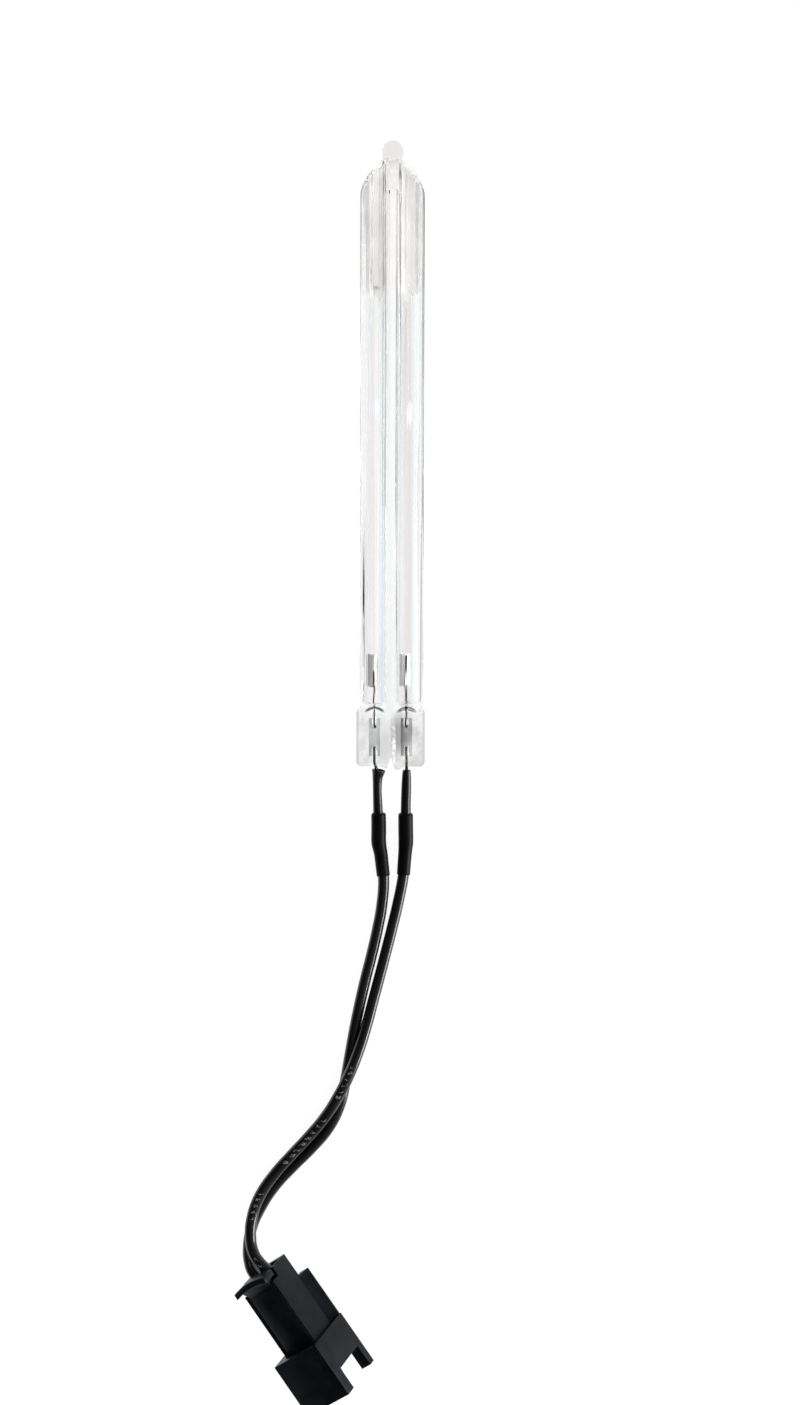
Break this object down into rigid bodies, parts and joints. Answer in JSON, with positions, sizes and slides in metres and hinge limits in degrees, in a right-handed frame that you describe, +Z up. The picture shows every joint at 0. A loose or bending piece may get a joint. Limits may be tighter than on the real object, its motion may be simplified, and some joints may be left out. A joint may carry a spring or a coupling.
{
  "type": "uvc germicidal lamp tube",
  "caption": "Slim double-bore quartz germicidal lamp with a flat pinch seal and two black leads that end in a small latching two-pin connector.",
  "frame": {"origin": "on the table under the middle of the lamp, half way between the seal-off tip and the ends of the stiff outer leads", "axes": "+Y along the tube towards its seal-off tip, +Z up from the table, +X to the right seen from above with the tip away from the viewer"},
  "size_m": [0.0293, 0.1988, 0.0136],
  "materials": {
    "quartz_glass": "clear fused quartz",
    "nickel": "dull grey metal",
    "lead_metal": "dark oxidised metal",
    "molybdenum_foil": "satin foil",
    "mercury": "liquid mirror",
    "sleeve_black": "satin shrunk tube",
    "wire_insulation": "satin PVC",
    "tinned_strands": "tinned copper",
    "tinned_metal": "tin plated",
    "housing_plastic": "satin moulded plastic"
  },
  "bodies": {
    "lamp": {"quartz_envelope": "quartz_glass", "left_electrode_cup": "nickel", "right_electrode_cup": "nickel", "left_electrode_stem": "lead_metal", "right_electrode_stem": "lead_metal", "left_seal_foil": "molybdenum_foil", "right_seal_foil": "molybdenum_foil", "left_outer_lead": "lead_metal", "right_outer_lead": "lead_metal", "mercury_drop": "mercury", "left_lead_sleeve": "sleeve_black", "right_lead_sleeve": "sleeve_black", "left_splice_crimp": "tinned_metal", "right_splice_crimp": "tinned_metal", "left_splice_strands": "tinned_strands", "right_splice_strands": "tinned_strands", "left_shrink_sleeve": "sleeve_black", "right_shrink_sleeve": "sleeve_black", "left_wire": "wire_insulation", "right_wire": "wire_insulation", "left_pin_strands": "tinned_strands", "right_pin_strands": "tinned_strands", "left_terminal_pin": "tinned_metal", "right_terminal_pin": "tinned_metal", "connector_housing": "housing_plastic"},
    "latch": {"connector_latch": "housing_plastic"}
  },
  "joints": [
    {"name": "latch_rock", "type": "hinge", "parent": "lamp", "child": "latch", "pos_m": [-0.01438, -0.13135, 0.00792], "axis": [-0.705, -0.5648, -0.4289], "range_deg": [0, 2.8], "stiffness_Nm_per_rad": 0.4}
  ]
}
